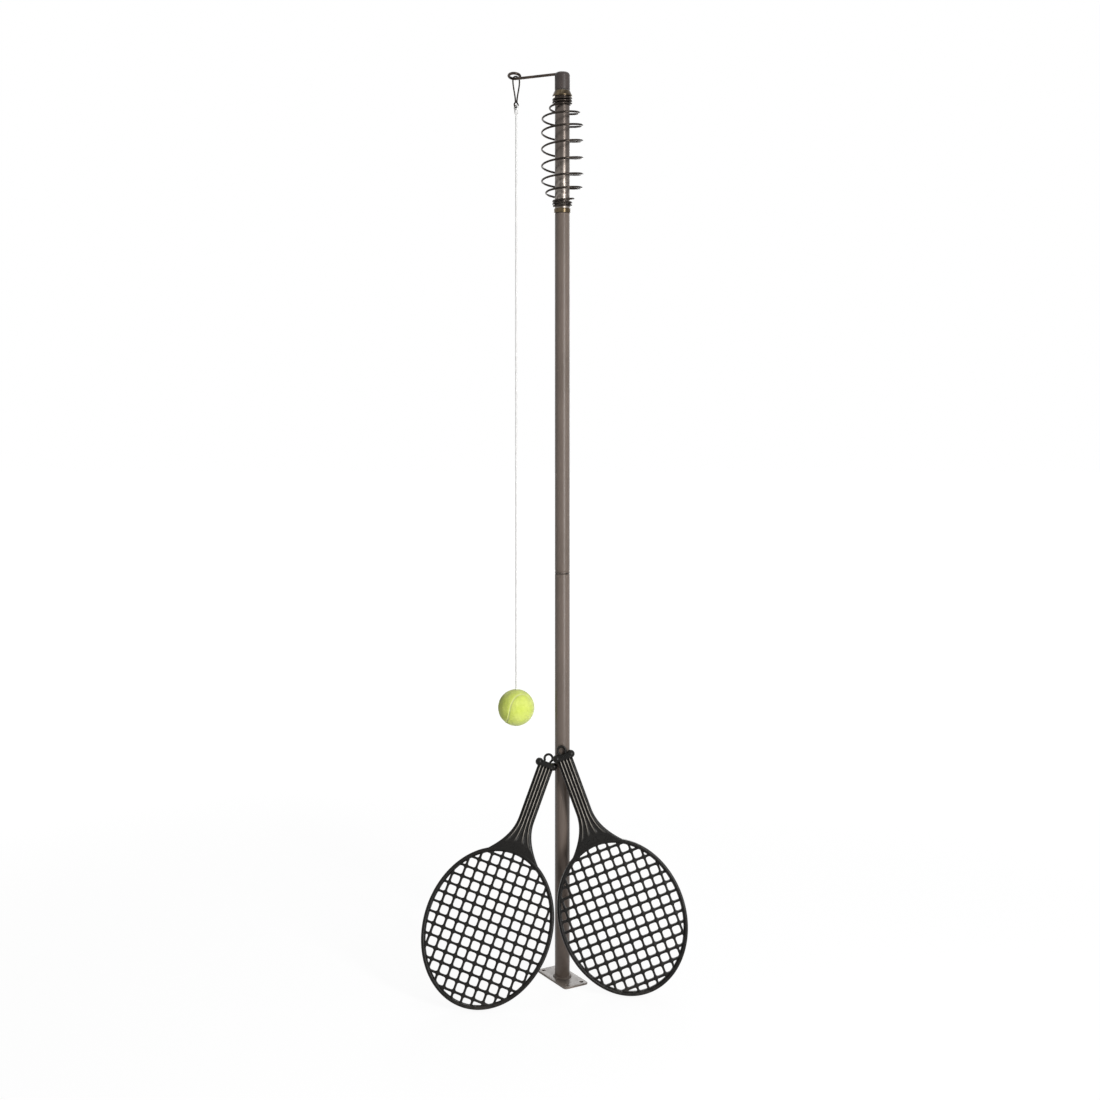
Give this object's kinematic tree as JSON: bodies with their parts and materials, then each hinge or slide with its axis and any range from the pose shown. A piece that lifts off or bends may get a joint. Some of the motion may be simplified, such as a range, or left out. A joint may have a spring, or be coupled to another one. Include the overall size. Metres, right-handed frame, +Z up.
{
  "type": "tetherball set",
  "caption": "Tether tennis set: a pole on a ground plate, a wire spiral, a turning arm with a ball on a cord, and grid rackets leaning at its foot.",
  "frame": {"origin": "on the pole's axis at the underside of the ground plate", "axes": "+Z up along the pole; -Y to the front, where the rackets lean; -X to the side that the arm points to"},
  "size_m": [0.4693, 0.2135, 1.6515],
  "materials": {
    "paint": "satin grey-brown paint",
    "plating": "dark bright plating",
    "steel": "turned steel",
    "nylon": "plain moulded nylon",
    "cord": "braided white cord",
    "rubber": "plain rubber",
    "felt": "fluffy yellow-green felt",
    "plastic": "black moulded plastic"
  },
  "bodies": {
    "ground_pole": {"ground_plate": "paint", "foot_weld": "paint", "lower_pole": "paint", "joint_sleeve": "plating"},
    "mast": {"upper_pole": "paint", "head_sleeve": "plating", "head_tube": "plating", "score_spiral": "plating", "foot_collar": "plating", "thrust_collar": "plating", "spindle_plug": "nylon", "spindle": "steel", "thrust_washer": "nylon", "retaining_ring": "steel"},
    "rotor": {"rotor_cap": "paint", "rotor_bush": "nylon", "rotor_arm": "plating"},
    "link": {"tether_link": "plating"},
    "tether": {"cord_knot": "cord", "tether_cord": "cord", "ball_core": "rubber", "ball_felt": "felt", "cord_stopper": "rubber"},
    "racket_left": {"racket_left_frame": "plastic", "racket_left_grid": "plastic", "racket_left_hang_loop": "plastic"},
    "racket_right": {"racket_right_frame": "plastic", "racket_right_grid": "plastic", "racket_right_hang_loop": "plastic"}
  },
  "joints": [
    {"name": "mast_lift", "type": "slide", "parent": "ground_pole", "child": "mast", "axis": [0, 0, 1], "range_m": [0, 0.08]},
    {"name": "rotor_spin", "type": "hinge", "parent": "mast", "child": "rotor", "pos_m": [0, 0, 1.6157], "axis": [0, 0, 1], "continuous": true},
    {"name": "link_swing", "type": "hinge", "parent": "rotor", "child": "link", "pos_m": [-0.08464, 0.0275, 1.64364], "axis": [-0.9506, 0.3089, -0.0297], "range_deg": [-45, 45]},
    {"name": "tether_swing", "type": "hinge", "parent": "link", "child": "tether", "pos_m": [-0.08464, 0.0275, 1.59094], "axis": [0.743, 0.6693, 0], "range_deg": [-2.5, 60]},
    {"name": "left_racket_slide", "type": "slide", "parent": "ground_pole", "child": "racket_left", "axis": [-0.9, -0.05, 0.433], "range_m": [0, 0.25]},
    {"name": "right_racket_slide", "type": "slide", "parent": "ground_pole", "child": "racket_right", "axis": [0.9, -0.05, 0.433], "range_m": [0, 0.25]}
  ]
}
